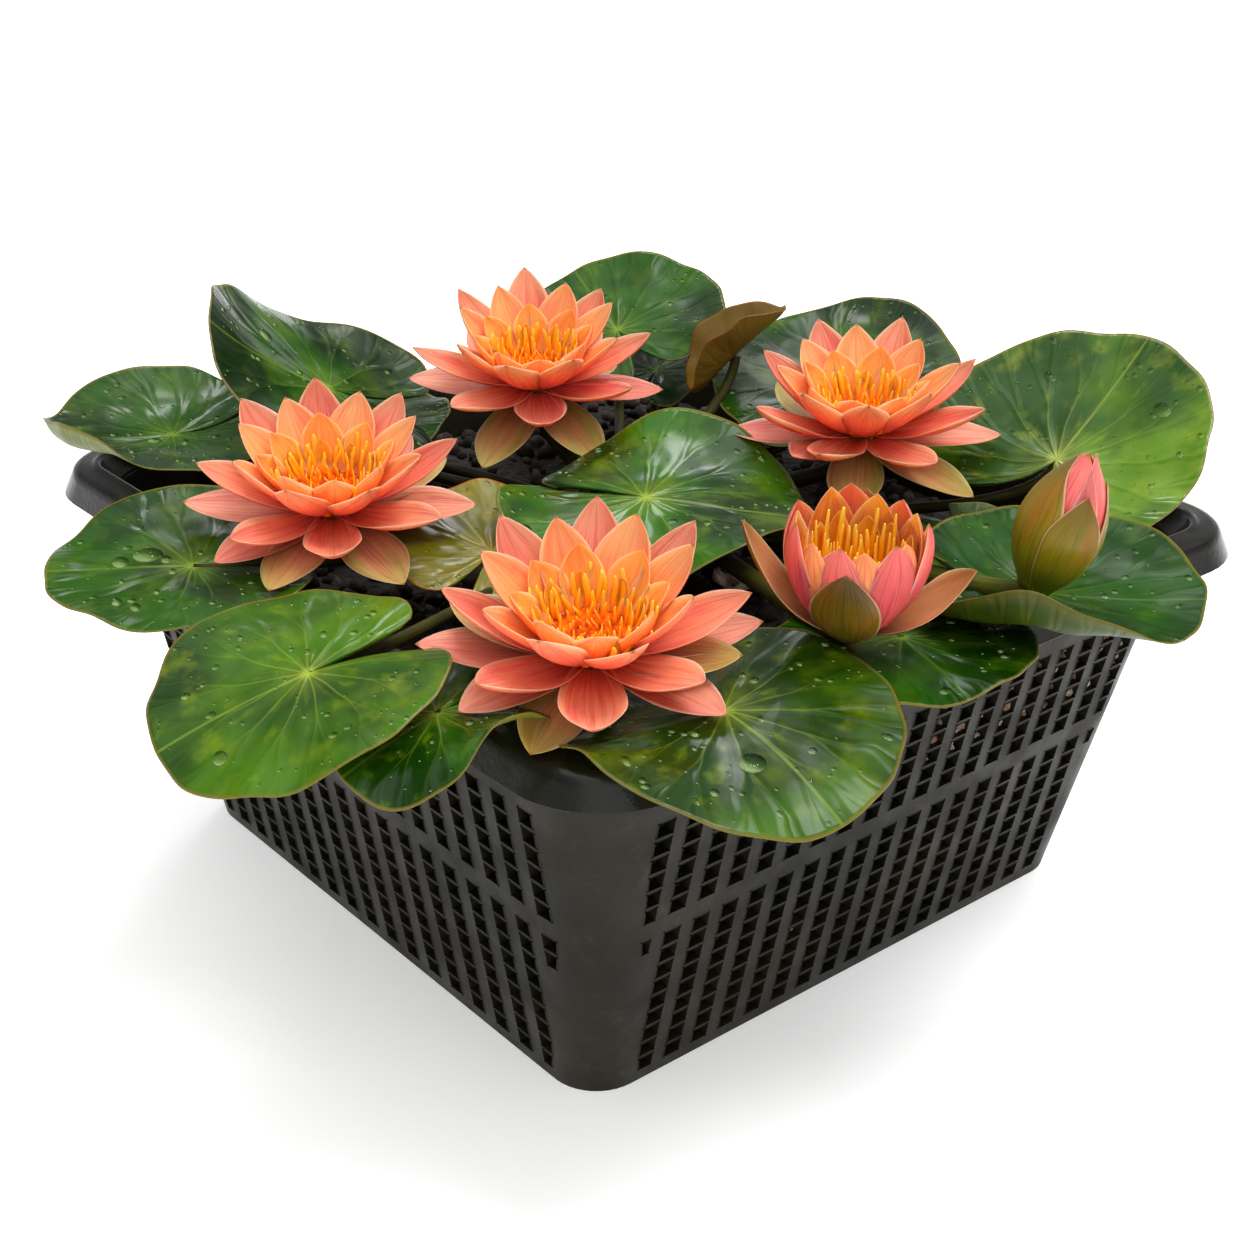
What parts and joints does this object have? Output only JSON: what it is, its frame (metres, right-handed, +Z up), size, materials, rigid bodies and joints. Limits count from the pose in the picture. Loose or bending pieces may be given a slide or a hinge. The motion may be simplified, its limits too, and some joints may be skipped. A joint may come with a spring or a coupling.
{
  "type": "potted dwarf water lily",
  "caption": "Dwarf water lily with notched floating leaves and coral flowers, growing from gravelly soil in a square black lattice planting basket with a rolled rim",
  "frame": {"origin": "centre of the basket's flat underside", "axes": "+Z up, X along the longer sides of the basket, Y along the shorter sides"},
  "size_m": [0.2707, 0.2621, 0.1467],
  "materials": {
    "basket": "satin",
    "soil": "matte",
    "crown": "matte",
    "leaf": "gloss",
    "young_leaf": "gloss",
    "stalk": "satin",
    "petal": "satin",
    "bud": "satin"
  },
  "bodies": {
    "root": {"basket": "basket", "soil": "soil", "crown": "crown", "leaf_left_mid": "leaf", "leaf_stalk_left_mid": "stalk", "leaf_left_back": "leaf", "leaf_stalk_left_back": "stalk", "leaf_back_tip": "leaf", "leaf_stalk_back_tip": "stalk", "leaf_back_left": "leaf", "leaf_stalk_back_left": "stalk", "leaf_back_top": "leaf", "leaf_stalk_back_top": "stalk", "leaf_back_inner": "leaf", "leaf_stalk_back_inner": "stalk", "leaf_back_right": "leaf", "leaf_stalk_back_right": "stalk", "leaf_right_tall": "leaf", "leaf_stalk_right_tall": "stalk", "leaf_right_low": "leaf", "leaf_stalk_right_low": "stalk", "leaf_right_front": "leaf", "leaf_stalk_right_front": "stalk", "leaf_front_right": "leaf", "leaf_stalk_front_right": "stalk", "leaf_front_small": "leaf", "leaf_stalk_front_small": "stalk", "leaf_front_left": "leaf", "leaf_stalk_front_left": "stalk", "leaf_centre": "leaf", "leaf_stalk_centre": "stalk", "leaf_olive": "young_leaf", "leaf_stalk_olive": "stalk", "leaf_bronze": "young_leaf", "leaf_stalk_bronze": "stalk", "leaf_right_inner": "leaf", "leaf_stalk_right_inner": "stalk", "flower_left": "petal", "flower_stalk_left": "stalk", "flower_back": "petal", "flower_stalk_back": "stalk", "flower_right": "petal", "flower_stalk_right": "stalk", "flower_front": "petal", "flower_stalk_front": "stalk", "flower_cup": "petal", "flower_stalk_cup": "stalk", "bud": "bud", "bud_stalk": "stalk"}
  },
  "joints": []
}
